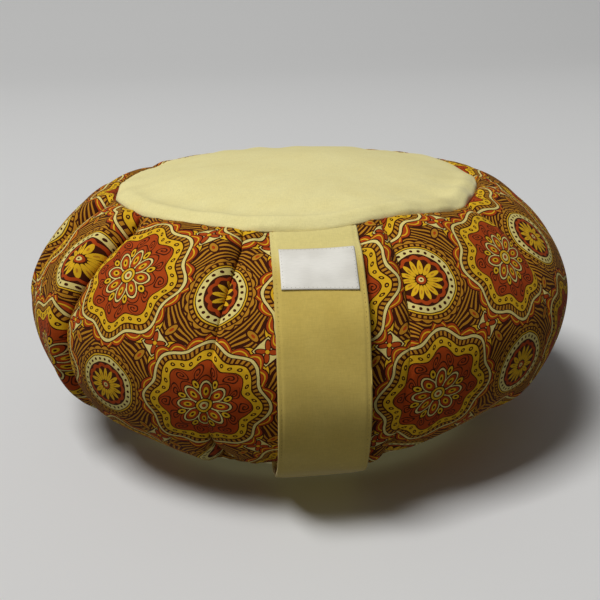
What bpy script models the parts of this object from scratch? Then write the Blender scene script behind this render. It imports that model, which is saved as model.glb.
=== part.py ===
"""A round meditation cushion: a plain top disc and base disc, a pleated side
wall between them, and a carrying strap with a small blank label.

Metres, +Z up. The origin is the middle of the flat on which the cushion
stands. The strap is at the front, on the -Y side. Angles round the cushion
are in degrees from the front, positive towards +X.
"""

import math

import bmesh
import bpy
import numpy as np

MM = 0.001

# Driving dimensions.
WIDEST_RADIUS = 180.0 * MM
SEAM_RADIUS = 121.0 * MM
HEIGHT = 170.0 * MM
CLOTH = 2.0 * MM
STRAP_THICK = 2.4 * MM
STRAP_WIDTH = 50.0 * MM
LABEL_WIDTH = 41.5 * MM
LABEL_HEIGHT = 28.5 * MM
LABEL_THICK = 1.0 * MM
GAP = 0.4 * MM

# The side wall's section in millimetres, from the top seam to the base seam.
# Columns: radius, height.
WALL_SECTION = [
    (120.9, 153.85),
    (122.6, 156.0),
    (126.5, 154.6),
    (134.0, 150.6),
    (146.0, 143.2),
    (160.8, 130.2),
    (172.0, 115.5),
    (180.0, 95.8),
    (179.6, 78.0),
    (174.0, 58.0),
    (164.0, 41.0),
    (149.0, 26.2),
    (134.0, 15.4),
    (125.5, 10.2),
    (122.4, 8.2),
    (121.0, 9.7),
]
# The top disc's upper face in millimetres, from its centre to its edge.
# Columns: radius, height.
TOP_SECTION = [
    (0.0, 170.0),
    (30.0, 169.4),
    (58.0, 167.6),
    (82.0, 164.6),
    (101.0, 161.2),
    (112.0, 159.2),
    (117.2, 157.8),
    (119.8, 156.2),
    (120.7, 154.2),
]
# The base disc's lower face, from its centre to its edge: flat, then rising.
BASE_SECTION = [
    (0.0, 0.0),
    (50.0, 0.0),
    (92.0, 0.0),
    (104.0, 1.5),
    (112.5, 4.2),
    (118.0, 6.6),
    (120.7, 9.4),
]
# Where the wall has its rings, as shares of the way from seam to seam.
WALL_RINGS = [
    0.0, 0.014, 0.035, 0.07, 0.115, 0.17, 0.235, 0.31, 0.39, 0.47,
    0.55, 0.63, 0.705, 0.775, 0.835, 0.885, 0.93, 0.965, 0.986, 1.0,
]

# The pleats, each a deep crease sewn into both seams.
# Columns: angle at the top seam, at half height and at the base seam, then
# depth in millimetres near the top seam, at half height and near the base.
PLEATS = [
    (-79.0, -71.5, -72.0, 6.0, 2.5, 3.0),
    (-54.7, -53.5, -62.0, 8.5, 6.5, 5.0),
    (-18.7, -19.5, -24.0, 6.0, 0.6, 9.0),
    (19.8, 16.3, 14.6, 3.5, 0.4, 4.5),
    (53.0, 52.0, 50.0, 2.5, 0.0, 3.5),
    (88.0, 88.0, 86.0, 4.5, 0.8, 4.0),
    (124.0, 122.0, 124.0, 6.0, 2.0, 5.5),
    (160.0, 161.0, 159.0, 7.0, 2.5, 6.0),
    (196.0, 195.0, 197.0, 5.5, 0.8, 6.5),
    (228.0, 230.0, 229.0, 7.5, 3.0, 5.0),
    (256.5, 257.0, 255.0, 5.0, 1.0, 4.5),
]
PLEAT_HALF_WIDTH = 6.5 * MM
PLEAT_NOTCH = 0.12
SEAM_LIP = 0.013
PLEAT_OFFSETS = [-6.6, -3.3, -1.3, 0.0, 1.3, 3.3, 6.6]
LOBE = 2.2 * MM
SEAM_CORNER = 1.6 * MM
WIDEST_STEP = 7.0

# Where the filling has settled unevenly under the cloth.
# Columns: angle, share of the way down the wall, reach in degrees, reach in
# share, and how far the wall stands out in millimetres.
UNEVEN = [
    (36.0, 0.885, 13.0, 0.13, -7.5),
    (51.0, 0.72, 6.0, 0.08, 4.0),
    (-46.0, 0.87, 12.0, 0.11, -4.5),
    (-97.0, 0.22, 14.0, 0.11, -2.5),
    (112.0, 0.20, 14.0, 0.11, 1.2),
    (170.0, 0.30, 20.0, 0.14, 1.5),
    (215.0, 0.75, 16.0, 0.12, -2.5),
]

# The strap's outer face in millimetres, from the top seam to the base seam:
# pressed into the wall at both seams and slack between them.
# Columns: radius, height.
STRAP_SECTION = [
    (122.9, 156.1),
    (126.4, 154.3),
    (134.0, 150.6),
    (142.2, 149.1),
    (149.2, 145.7),
    (164.8, 133.6),
    (178.0, 118.0),
    (187.0, 98.6),
    (189.4, 83.0),
    (187.8, 67.0),
    (182.0, 50.0),
    (172.6, 35.4),
    (161.5, 27.0),
    (150.5, 20.0),
    (140.0, 13.2),
    (131.0, 8.4),
    (126.0, 7.7),
    (122.9, 8.5),
]
STRAP_RECESS = 3.7 * MM
STRAP_CLINGS = 0.17
STRAP_DRIFT = -3.0 * MM
STRAP_SECTIONS = 34
LABEL_TOP = 19.3 * MM
LABEL_LIFT = 0.55 * MM

COLOURS = {
    "printed_cotton": (0.36, 0.17, 0.04, 1.0),
    "plain_cotton": (0.70, 0.62, 0.33, 1.0),
    "strap_cotton": (0.66, 0.57, 0.26, 1.0),
    "label_satin": (0.72, 0.70, 0.66, 1.0),
}
CLOTH_ROUGHNESS = 0.9
SATIN_ROUGHNESS = 0.5


def ease(x):
    """A smooth step from 0 to 1."""
    x = np.clip(x, 0.0, 1.0)
    return x * x * (3.0 - 2.0 * x)


def through(points, per_span=12):
    """A smooth line through the points, as an array of closely spaced ones."""
    p = np.array(points, float)
    p = np.vstack([2 * p[0] - p[1], p, 2 * p[-1] - p[-2]])
    line = []
    for i in range(1, len(p) - 2):
        a, b, c, d = p[i - 1 : i + 3]
        knots = np.cumsum(
            [0.0] + [math.sqrt(np.linalg.norm(y - x)) for x, y in ((a, b), (b, c), (c, d))]
        )
        slope_b = ((b - a) / (knots[1] - knots[0]) - (c - a) / (knots[2] - knots[0])
                   + (c - b) / (knots[2] - knots[1]))
        slope_c = ((c - b) / (knots[2] - knots[1]) - (d - b) / (knots[3] - knots[1])
                   + (d - c) / (knots[3] - knots[2]))
        span = knots[2] - knots[1]
        for k in range(per_span):
            t = k / per_span
            line.append(
                (2 * t**3 - 3 * t**2 + 1) * b
                + (t**3 - 2 * t**2 + t) * span * slope_b
                + (3 * t**2 - 2 * t**3) * c
                + (t**3 - t**2) * span * slope_c
            )
    line.append(p[-2])
    return np.array(line)


class Section:
    """A line in the (radius, height) plane, read by its share of length."""

    def __init__(self, points):
        self.line = through(points) * MM
        steps = np.linalg.norm(np.diff(self.line, axis=0), axis=1)
        self.along = np.concatenate([[0.0], np.cumsum(steps)])
        self.length = self.along[-1]

    def at(self, share):
        """The point, and the direction that points out of the cushion."""
        where = share * self.length
        point = np.array([np.interp(where, self.along, self.line[:, k]) for k in (0, 1)])
        reach = 0.004 * self.length
        ends = [
            np.array([np.interp(where + d, self.along, self.line[:, k]) for k in (0, 1)])
            for d in (-reach, reach)
        ]
        tangent = ends[1] - ends[0]
        tangent /= np.linalg.norm(tangent)
        return point, np.array([-tangent[1], tangent[0]])


WALL = Section(WALL_SECTION)
STRAP = Section(STRAP_SECTION)


def pleat_angle(pleat, share):
    """The angle of a pleat's crease at a share of the way down the wall."""
    top, middle, base = pleat[:3]
    return float(np.interp(share, [0.0, 0.5, 1.0], [top, middle, base]))


def pleat_depth(pleat, share):
    """The depth of a pleat's crease: strongest near the seams it is sewn in."""
    top, middle, base = (d * MM for d in pleat[3:])
    near_top = ease(1.0 - (share - 0.1) / 0.36)
    near_base = ease(1.0 - (0.9 - share) / 0.3)
    depth = middle + (top - middle) * near_top + (base - middle) * near_base
    opening = ease(min(share, 1.0 - share) / 0.085)
    return depth * (PLEAT_NOTCH + (1.0 - PLEAT_NOTCH) * opening)


def turn(a, b):
    """The smallest turn from angle b to angle a, in degrees."""
    return (a - b + 180.0) % 360.0 - 180.0


def lobe_place(angle):
    """0 at a pleat and 1 half way between two pleats, at the top seam."""
    tops = sorted(p[0] % 360.0 for p in PLEATS)
    tops = [tops[-1] - 360.0] + tops + [tops[0] + 360.0]
    a = angle % 360.0
    for low, high in zip(tops, tops[1:]):
        if low <= a <= high:
            return 1.0 - abs(2.0 * (a - low) / (high - low) - 1.0)
    return 0.0


def seam_shift(angle):
    """How far the seam stands out: a little further at each pleat's corner."""
    return SEAM_CORNER * ((1.0 - lobe_place(angle)) ** 2 - 0.33)


def strap_bed(angle):
    """1 under the strap, 0 beside it."""
    return float(ease((15.5 - abs(turn(angle, 0.0))) / 3.0))


def drifted(angle, share):
    """The angle that a column of the wall has at a share of the way down."""
    tops = sorted((p[0] % 360.0, turn(pleat_angle(p, share), p[0])) for p in PLEATS)
    places = [t[0] for t in tops]
    shifts = [t[1] for t in tops]
    return angle + float(np.interp(angle % 360.0, places, shifts, period=360.0))


def wall_point(angle, share):
    """A point of the wall's outer face."""
    (radius, height), (out_r, out_z) = WALL.at(share)
    here = drifted(angle, share)
    from_seam = min(share, 1.0 - share)
    bed = strap_bed(here)
    push = LOBE * ease(lobe_place(angle) * 1.6) * ease(from_seam / 0.08)
    push *= ease((0.42 - from_seam) / 0.3) * (1.0 - bed)
    for pleat in PLEATS:
        aside = radius * math.radians(turn(here, pleat_angle(pleat, share)))
        push -= pleat_depth(pleat, share) * math.exp(-abs(aside) / PLEAT_HALF_WIDTH)
    for at, down, turning, reach, out in UNEVEN:
        aside = turn(here, at) / turning
        push += out * MM * math.exp(-(aside**2) - ((share - down) / reach) ** 2)
    push -= STRAP_RECESS * bed * ease((0.13 - from_seam) / 0.07)
    push *= ease(from_seam / SEAM_LIP)
    radius += out_r * push + seam_shift(angle) * ease((0.3 - from_seam) / 0.3)
    height += out_z * push
    return placed(here, radius, height)


def placed(angle, radius, height):
    """The point at an angle, a radius and a height."""
    a = math.radians(angle)
    return (radius * math.sin(a), -radius * math.cos(a), height)


def section_angles():
    """The columns of the wall and discs: close at the creases, wide between."""
    marks = {round((p[0] + d) % 360.0, 3) for p in PLEATS for d in PLEAT_OFFSETS}
    marks |= {round(a % 360.0, 3) for a in (-11.0, -5.5, 0.0, 5.5, 11.0)}
    marks = sorted(marks)
    angles = []
    for low, high in zip(marks, marks[1:] + [marks[0] + 360.0]):
        count = max(1, math.ceil((high - low) / WIDEST_STEP))
        angles += [low + (high - low) * k / count for k in range(count)]
    return angles


def inset(section, by):
    """The section moved by a distance, square to itself, into the cushion."""
    p = np.array(section)
    steps = np.diff(p, axis=0)
    steps /= np.linalg.norm(steps, axis=1)[:, None]
    inward = np.stack([steps[:, 1], -steps[:, 0]], 1)
    if p[0, 1] < p[:, 1].max():
        inward = -inward
    before = np.vstack([inward[:1], inward])
    after = np.vstack([inward, inward[-1:]])
    both = before + after
    both /= (both * after).sum(axis=1)[:, None]
    both[0, 0] = 0.0
    return p + both * by / MM


def disc_rings(section, angles, share):
    """The rings of a disc's face, and its middle point."""
    edge = section[-1][0]
    rings = []
    for radius, height in section[1:]:
        shaped = ease((radius - 60.0) / (edge - 60.0))
        rings.append([
            placed(drifted(a, share), radius * MM + seam_shift(a) * shaped, height * MM)
            for a in angles
        ])
    return rings, (0.0, 0.0, section[0][1] * MM)


def bed_rings(section, angles, share):
    """The same for the bed below a disc, which also clears the disc's rim."""
    bed = inset(section, CLOTH + GAP)
    rim = np.array(section[-1]) - np.array(section[-2])
    bed[-1] += rim / np.linalg.norm(rim) * GAP / MM
    return disc_rings(bed, angles, share)


def closed_turning(rings, first, last):
    """A closed mesh from a middle point, through the rings, to another."""
    mesh = bmesh.new()
    start = mesh.verts.new(first)
    loops = [[mesh.verts.new(p) for p in ring] for ring in rings]
    end = mesh.verts.new(last)
    count = len(loops[0])
    for k in range(count):
        n = (k + 1) % count
        mesh.faces.new((start, loops[0][k], loops[0][n]))
        for upper, lower in zip(loops, loops[1:]):
            mesh.faces.new((upper[k], lower[k], lower[n], upper[n]))
        mesh.faces.new((loops[-1][n], loops[-1][k], end))
    return mesh


def closed_strip(sections):
    """A closed mesh through sections that are loops of equal length."""
    mesh = bmesh.new()
    loops = [[mesh.verts.new(p) for p in loop] for loop in sections]
    count = len(loops[0])
    mesh.faces.new(loops[0])
    mesh.faces.new(list(reversed(loops[-1])))
    for before, after in zip(loops, loops[1:]):
        for k in range(count):
            n = (k + 1) % count
            mesh.faces.new((before[n], before[k], after[k], after[n]))
    return mesh


def add_object(name, mesh, material, collection):
    """Makes the object, with its faces pointing out and split in triangles."""
    bmesh.ops.recalc_face_normals(mesh, faces=mesh.faces[:])
    bmesh.ops.triangulate(mesh, faces=mesh.faces[:])
    data = bpy.data.meshes.new(name)
    mesh.to_mesh(data)
    mesh.free()
    data.shade_smooth()
    data.materials.append(material)
    made = bpy.data.objects.new(name, data)
    collection.objects.link(made)
    return made


def cloth_material(name, roughness):
    """A plain material of the cloth's colour."""
    material = bpy.data.materials.new(name)
    material.use_nodes = True
    shader = material.node_tree.nodes["Principled BSDF"]
    shader.inputs["Base Color"].default_value = COLOURS[name]
    shader.inputs["Roughness"].default_value = roughness
    shader.inputs["Metallic"].default_value = 0.0
    return material


def side_wall(angles):
    """The filled wall: its pleated outer face, and the beds of both discs."""
    top, top_middle = bed_rings(TOP_SECTION, angles, 0.0)
    base, base_middle = bed_rings(BASE_SECTION, angles, 1.0)
    wall = [[wall_point(a, s) for a in angles] for s in WALL_RINGS]
    return closed_turning(top + wall + base[::-1], top_middle, base_middle)


def disc(section, angles, share):
    """A sewn disc of cloth, its outer face along the section."""
    outer, outer_middle = disc_rings(section, angles, share)
    inner, inner_middle = disc_rings(inset(section, CLOTH), angles, share)
    return closed_turning(outer + inner[::-1], outer_middle, inner_middle)


def strap_line(count):
    """Evenly spaced places on the strap's outer face, and what points out there."""
    along = np.linspace(0.0, 1.0, count)
    placed_out = [STRAP.at(share) for share in along]
    return along * STRAP.length, *np.array(placed_out).transpose(1, 0, 2)


def across_strap(point, out, aside, above, share):
    """A point beside the middle of the strap, and above its outer face."""
    clings = float(ease(1.0 - min(share, 1.0 - share) / STRAP_CLINGS))
    x = aside + STRAP_DRIFT * share
    bend = clings / SEAM_RADIUS
    sag = x**2 * bend / 2.0 * (1.0 + (x * bend) ** 2 / 4.0)
    shift = seam_shift(math.degrees(x / SEAM_RADIUS)) * clings
    radius = point[0] + out[0] * above - sag + shift
    return (x, -radius, point[1] + out[1] * above)


def band(points, outs, shares, width, thick, above):
    """A flat band with rounded edges, its middle above the strap's outer face."""
    half, edge = width / 2.0, thick / 2.0
    places = [-half + edge, -half / 2.0, 0.0, half / 2.0, half - edge]
    outline = [(-half, 0.0)] + [(w, thick / 2.0) for w in places]
    outline += [(half, 0.0)] + [(w, -thick / 2.0) for w in reversed(places)]
    sections = [
        [across_strap(point, out, w, above + h, share) for w, h in outline]
        for point, out, share in zip(points, outs, shares)
    ]
    return closed_strip(sections)


def strap():
    """The carrying strap, from the top seam down to the base seam."""
    along, points, outs = strap_line(STRAP_SECTIONS)
    shares = along / STRAP.length
    return band(points, outs, shares, STRAP_WIDTH, STRAP_THICK, -STRAP_THICK / 2.0)


def label():
    """The blank label, sewn on the strap's outer face below the top seam."""
    along, points, outs = strap_line(STRAP_SECTIONS)
    where = np.linspace(LABEL_TOP, LABEL_TOP + LABEL_HEIGHT, 7)
    own = [
        np.stack([np.interp(where, along, table[:, k]) for k in (0, 1)], 1)
        for table in (points, outs)
    ]
    above = LABEL_LIFT + LABEL_THICK / 2.0
    return band(*own, where / STRAP.length, LABEL_WIDTH, LABEL_THICK, above)


def main():
    for old in list(bpy.data.objects):
        bpy.data.objects.remove(old)
    collection = bpy.data.collections.new("meditation_cushion")
    bpy.context.scene.collection.children.link(collection)

    printed = cloth_material("printed_cotton", CLOTH_ROUGHNESS)
    plain = cloth_material("plain_cotton", CLOTH_ROUGHNESS)
    strap_cloth = cloth_material("strap_cotton", CLOTH_ROUGHNESS)
    satin = cloth_material("label_satin", SATIN_ROUGHNESS)

    angles = section_angles()
    add_object("side_wall", side_wall(angles), printed, collection)
    add_object("top_panel", disc(TOP_SECTION, angles, 0.0), plain, collection)
    add_object("base_panel", disc(BASE_SECTION, angles, 1.0), plain, collection)
    add_object("strap", strap(), strap_cloth, collection)
    add_object("label", label(), satin, collection)


main()
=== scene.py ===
# %% [markdown]
# This lesson dresses a round meditation cushion. The plain solids come from
# the frame, and each is replaced here by a piece of sewn cloth: a printed and
# pleated side band round the filling, a plain top and base, a carrying strap
# with its stitch lines, and a small blank label.

# %% Open the frame
import math

import bmesh
import bpy
import numpy as np
from mathutils import Matrix, Vector


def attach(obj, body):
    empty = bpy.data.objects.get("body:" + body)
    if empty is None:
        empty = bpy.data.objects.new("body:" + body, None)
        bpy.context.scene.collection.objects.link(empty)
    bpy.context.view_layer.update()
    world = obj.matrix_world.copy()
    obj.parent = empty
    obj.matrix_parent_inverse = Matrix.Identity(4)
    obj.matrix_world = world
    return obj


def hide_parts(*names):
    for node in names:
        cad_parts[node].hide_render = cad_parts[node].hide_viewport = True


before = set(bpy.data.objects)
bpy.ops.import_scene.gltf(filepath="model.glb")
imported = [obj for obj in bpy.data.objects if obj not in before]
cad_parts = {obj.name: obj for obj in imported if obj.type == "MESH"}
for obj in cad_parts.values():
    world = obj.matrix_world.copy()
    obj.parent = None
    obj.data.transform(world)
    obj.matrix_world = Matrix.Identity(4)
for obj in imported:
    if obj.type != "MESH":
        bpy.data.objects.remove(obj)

bpy.context.view_layer.update()

# %% [markdown]
# All sizes are in metres, with tables in millimetres where that reads better.
# The sections are half outlines of the cushion, as a maker would draw them on
# card: a radius and a height for each point. They could be drawn as curves in
# Blender, but a table is easier to compare with the plain solids. The sections
# are theirs, so every cloth lies where its solid is, and only the border of
# the base is tucked up a little further.

# %% Sizes and sections
MM = 0.001
SEAM_RADIUS = 121.0 * MM
WIDEST_RADIUS = 180.0 * MM
COVER_CLOTH = 1.6 * MM
BED_DEPTH = 2.3 * MM
STRAP_WIDTH = 50.0 * MM
STRAP_THICK = 2.4 * MM
STRAP_DRIFT = -3.0 * MM
STRAP_CLINGS = 0.17
STRAP_RECESS = 3.7 * MM
STRAP_BED_TURN = 15.5
LABEL_WIDTH = 41.5 * MM
LABEL_HEIGHT = 28.5 * MM
LABEL_THICK = 0.7 * MM
LABEL_TOP = 19.3 * MM

WALL_SECTION = [
    (120.9, 153.85),
    (122.6, 156.0),
    (126.5, 154.6),
    (134.0, 150.6),
    (146.0, 143.2),
    (160.8, 130.2),
    (172.0, 115.5),
    (180.0, 95.8),
    (179.6, 78.0),
    (174.0, 58.0),
    (164.0, 41.0),
    (149.0, 26.2),
    (134.0, 15.4),
    (125.5, 10.2),
    (122.4, 8.2),
    (121.0, 9.7),
]
TOP_SECTION = [
    (0.0, 170.0),
    (30.0, 169.4),
    (58.0, 167.6),
    (82.0, 164.6),
    (101.0, 161.2),
    (112.0, 159.2),
    (117.2, 157.8),
    (119.8, 156.2),
    (120.7, 154.2),
]
BASE_SECTION = [
    (0.0, 0.0),
    (50.0, 0.0),
    (92.0, 0.2),
    (104.0, 2.9),
    (112.5, 6.1),
    (118.0, 8.3),
    (120.7, 9.6),
]
STRAP_SECTION = [
    (121.9, 155.2),
    (126.4, 154.3),
    (134.0, 150.6),
    (142.2, 149.1),
    (149.2, 145.7),
    (164.8, 133.6),
    (178.0, 118.0),
    (187.0, 98.6),
    (189.4, 83.0),
    (187.8, 67.0),
    (182.0, 50.0),
    (172.6, 35.4),
    (161.5, 27.0),
    (150.5, 20.0),
    (140.0, 13.2),
    (131.0, 8.4),
    (126.0, 7.7),
    (122.4, 9.0),
]
print("the filled side is", round(2.0 * WIDEST_RADIUS / MM), "mm across")

# %% [markdown]
# Each pleat is a crease sewn into both seams. Its row gives the angle of the
# crease at the top seam, half way down and at the base seam, in degrees from
# the strap, then its depth at those places in millimetres, and the side to
# which the fold of cloth is laid. The filling has settled unevenly: a row of
# the second table is a hump or a hollow, with its angle, its share of the way
# down, its two widths and its height. The third table gives the places where
# the filling pulls the top seam: an angle, a width, how far out and how far up.
# Equal pleats could be copied round with an Array, but no two are alike here.

# %% Pleats and uneven filling
PLEATS = [
    (-78.5, -83.0, -78.0, 8.0, 2.0, 3.0, -1),
    (-54.7, -58.0, -65.0, 11.0, 9.5, 5.5, -1),
    (-18.7, -19.5, -28.0, 7.0, 0.6, 11.0, -1),
    (19.8, 14.2, 14.6, 3.5, 0.8, 5.5, -1),
    (53.0, 52.0, 50.0, 2.5, 0.0, 3.5, -1),
    (88.0, 88.0, 86.0, 4.5, 0.8, 4.0, -1),
    (124.0, 122.0, 124.0, 6.0, 2.0, 5.5, -1),
    (160.0, 161.0, 159.0, 7.0, 2.5, 6.0, 1),
    (196.0, 195.0, 197.0, 5.5, 0.8, 6.5, 1),
    (228.0, 230.0, 229.0, 7.5, 3.0, 5.0, -1),
    (256.5, 257.0, 255.0, 5.0, 1.0, 4.5, 1),
]
UNEVEN = [
    (36.0, 0.885, 13.0, 0.13, -7.5),
    (51.0, 0.72, 6.0, 0.08, 4.0),
    (12.6, 0.865, 4.4, 0.06, 2.8),
    (-46.0, 0.87, 12.0, 0.11, -4.5),
    (-97.0, 0.22, 14.0, 0.11, -2.5),
    (112.0, 0.20, 14.0, 0.11, 1.2),
    (170.0, 0.30, 20.0, 0.14, 1.5),
    (215.0, 0.75, 16.0, 0.12, -2.5),
]
TOP_SEAM_PULLS = [
    (-33.0, 20.0, -2.0, 1.0),
    (21.5, 14.5, -4.5, 3.0),
    (48.0, 8.0, 2.0, -1.2),
]
LOBE = 2.2 * MM
SEAM_CORNER = 1.6 * MM
SEAM_INSET_SHARE = 0.33
SEAM_REACH = 0.3
SEAM_LIP = 0.013
PLEAT_NOTCH = 0.12
print(len(PLEATS), "pleats and", len(UNEVEN), "uneven places")

# %% [markdown]
# The points of a section are joined by a smooth line. A curve object could hold
# it, but the later steps ask for any place on it by its share of the length,
# and for the direction that points out of the cushion there. So the line is
# worked out here, through every point of the table.

# %% Read a section by its length
def ease(x):
    """A smooth step from 0 to 1."""
    x = np.clip(x, 0.0, 1.0)
    return x * x * (3.0 - 2.0 * x)


def turn(a, b):
    """The smallest turn from angle b to angle a, in degrees."""
    return (a - b + 180.0) % 360.0 - 180.0


def soft_line(points, per_span=16):
    """A smooth line through the points of a section, in metres."""
    p = np.array(points, float)
    p = np.vstack([2 * p[0] - p[1], p, 2 * p[-1] - p[-2]])
    line = []
    for a, b, c, d in zip(p, p[1:], p[2:], p[3:]):
        gaps = [math.sqrt(np.linalg.norm(y - x)) for x, y in ((a, b), (b, c), (c, d))]
        leave = (b - a) / gaps[0] - (c - a) / (gaps[0] + gaps[1]) + (c - b) / gaps[1]
        arrive = (c - b) / gaps[1] - (d - b) / (gaps[1] + gaps[2]) + (d - c) / gaps[2]
        for t in np.arange(per_span) / per_span:
            line.append(
                (2 * t**3 - 3 * t**2 + 1) * b
                + (t**3 - 2 * t**2 + t) * gaps[1] * leave
                + (3 * t**2 - 2 * t**3) * c
                + (t**3 - t**2) * gaps[1] * arrive
            )
    line.append(p[-2])
    return np.array(line) * MM


class Section:
    """A half outline that is read by the share of its length."""

    def __init__(self, points):
        self.line = soft_line(points)
        steps = np.linalg.norm(np.diff(self.line, axis=0), axis=1)
        self.along = np.concatenate([[0.0], np.cumsum(steps)])
        self.length = self.along[-1]

    def place(self, where):
        """The points at the lengths in where, one row each."""
        return np.stack([np.interp(where, self.along, self.line[:, k]) for k in (0, 1)], -1)

    def at(self, share):
        """The points at the shares, and what points out of the cushion there."""
        where = np.asarray(share) * self.length
        reach = 0.004 * self.length
        tangent = self.place(where + reach) - self.place(where - reach)
        tangent /= np.linalg.norm(tangent, axis=-1, keepdims=True)
        return self.place(where), np.stack([-tangent[..., 1], tangent[..., 0]], -1)


wall_line = Section(WALL_SECTION)
strap_line = Section(STRAP_SECTION)
print("the side is", round(wall_line.length / MM), "mm from seam to seam")

# %% [markdown]
# The side band. On the real cushion it is one long strip, pleated to fit the
# two seams. A grid of points is laid over the filling, close together at the
# creases and wide between them. Beside each crease the cloth is pulled in,
# rolls up on one side and leans over the crease, as a laid fold does. Both
# seams also pucker a little. Mesh code is used, and not sculpting, because
# each fold has to run into the seam at a known place.

# %% The shape of the pleated side
COARSE_STEP = 2.4
CREASE_STEPS = [0.0, 0.2, 0.5, 0.95, 1.6, 2.5, 3.7, 5.2]
rng = np.random.default_rng(36)


def waves(angles, low, high):
    """A random wave round the cushion, with low to high humps in one turn."""
    humps = np.arange(low, high)
    phases = rng.uniform(0.0, 2.0 * math.pi, len(humps))
    turns = np.radians(angles)[..., None] * humps + phases
    return np.cos(turns).sum(-1) / math.sqrt(len(humps) / 2.0)


def pleat_angle(pleat, share):
    """The angle of a crease at a share of the way down."""
    return np.interp(share, [0.0, 0.5, 1.0], pleat[:3])


def pleat_depth(pleat, share):
    """The depth of a crease, strongest a little way from each seam."""
    top, middle, base = (d * MM for d in pleat[3:6])
    near_top = ease(1.0 - (share - 0.1) / 0.36)
    near_base = ease(1.0 - (0.9 - share) / 0.3)
    depth = middle + (top - middle) * near_top + (base - middle) * near_base
    opening = ease(np.minimum(share, 1.0 - share) / 0.085)
    return depth * (PLEAT_NOTCH + (1.0 - PLEAT_NOTCH) * opening)


def lobe_place(angles):
    """0 at a pleat and 1 half way between two pleats."""
    tops = np.sort([p[0] % 360.0 for p in PLEATS])
    edges = np.concatenate([[tops[-1] - 360.0], tops, [tops[0] + 360.0]])
    a = np.asarray(angles) % 360.0
    k = np.searchsorted(edges, a, side="right") - 1
    share = (a - edges[k]) / (edges[k + 1] - edges[k])
    return 1.0 - np.abs(2.0 * share - 1.0)


def seam_moves(angles, at_top):
    """How far a seam stands out, further at each pleat, and how far it is lifted."""
    moved_out = SEAM_CORNER * ((1.0 - lobe_place(angles)) ** 2 - SEAM_INSET_SHARE)
    lifted = 0.0 * angles
    for at, turning, out, up in TOP_SEAM_PULLS:
        near = np.exp(-((turn(angles, at) / turning) ** 2))
        moved_out += at_top * out * MM * near
        lifted += at_top * up * MM * near
    return moved_out, lifted


def drifted(angles, share):
    """The angles that the columns of cloth have at one share."""
    tops = np.array([p[0] % 360.0 for p in PLEATS])
    shifts = np.array([turn(pleat_angle(p, share), p[0]) for p in PLEATS])
    return angles + np.interp(angles % 360.0, tops, shifts, period=360.0)


def cloth_columns():
    """The angles of the columns of cloth at the top seam."""
    marks = set()
    for pleat in PLEATS:
        for step in CREASE_STEPS:
            marks.add(round((pleat[0] + step) % 360.0, 4))
            marks.add(round((pleat[0] - step) % 360.0, 4))
    marks = sorted(marks)
    found = []
    for low, high in zip(marks, marks[1:] + [marks[0] + 360.0]):
        parts = max(1, math.ceil((high - low) / COARSE_STEP))
        found += [low + (high - low) * k / parts for k in range(parts)]
    return np.array(found)


columns = cloth_columns()
count = len(columns)
print("the band has", count, "columns")

# %% [markdown]
# One ring of the band is the line of its cloth at one height. The drawn
# section gives its radius, and small moves are added to that: the lobes
# between the pleats, the pucker of the seams, short drag lines below them,
# the folds, and the humps of the filling. They could be sculpted, but as sums
# they can be measured in the photograph and corrected one at a time.

# %% One ring of the band
PUCKER = 0.3 * MM
PUCKER_REACH = 7.0 * MM
DRAG = 0.5 * MM
DRAG_REACH = 30.0 * MM
SETTLING = 0.6 * MM
PULLED_IN = 0.85
STEEP_SIDE = 3.4 * MM
FLAT_SIDE = 11.0 * MM
SLIT_SHARE = 0.3
SLIT_LEAST = 0.5 * MM
SLIT_WIDTH = 0.9 * MM
ROLL_SHARE = 0.4
ROLL_PLACE = 7.5 * MM
ROLL_WIDTH = 5.0 * MM
LEAN_SHARE = 0.75
LEAN_FROM = 1.2 * MM
LEAN_REACH = 5.5 * MM
puckers = [waves(columns, 70, 115), waves(columns, 70, 115)]
drags = [waves(columns, 13, 36), waves(columns, 13, 36)]
slow = [waves(columns, 3, 9), waves(columns, 3, 9)]


def fold_of(pleat, aside, share):
    """How far a pleat moves the cloth out, and sideways towards its crease."""
    depth = pleat_depth(pleat, share)
    over = aside * pleat[6]
    far = np.abs(aside)
    out = -PULLED_IN * depth * np.exp(-far / np.where(over > 0.0, STEEP_SIDE, FLAT_SIDE))
    slit = SLIT_SHARE * depth + SLIT_LEAST * min(1.0, depth / MM)
    out -= slit * np.exp(-far / SLIT_WIDTH)
    out += ROLL_SHARE * depth * np.exp(-(((over - ROLL_PLACE) / ROLL_WIDTH) ** 2))
    lean = LEAN_SHARE * depth * (1.0 - np.exp(-far / LEAN_FROM)) * np.exp(-far / LEAN_REACH)
    return out, np.where(over > 0.0, -pleat[6] * lean, 0.0)


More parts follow.
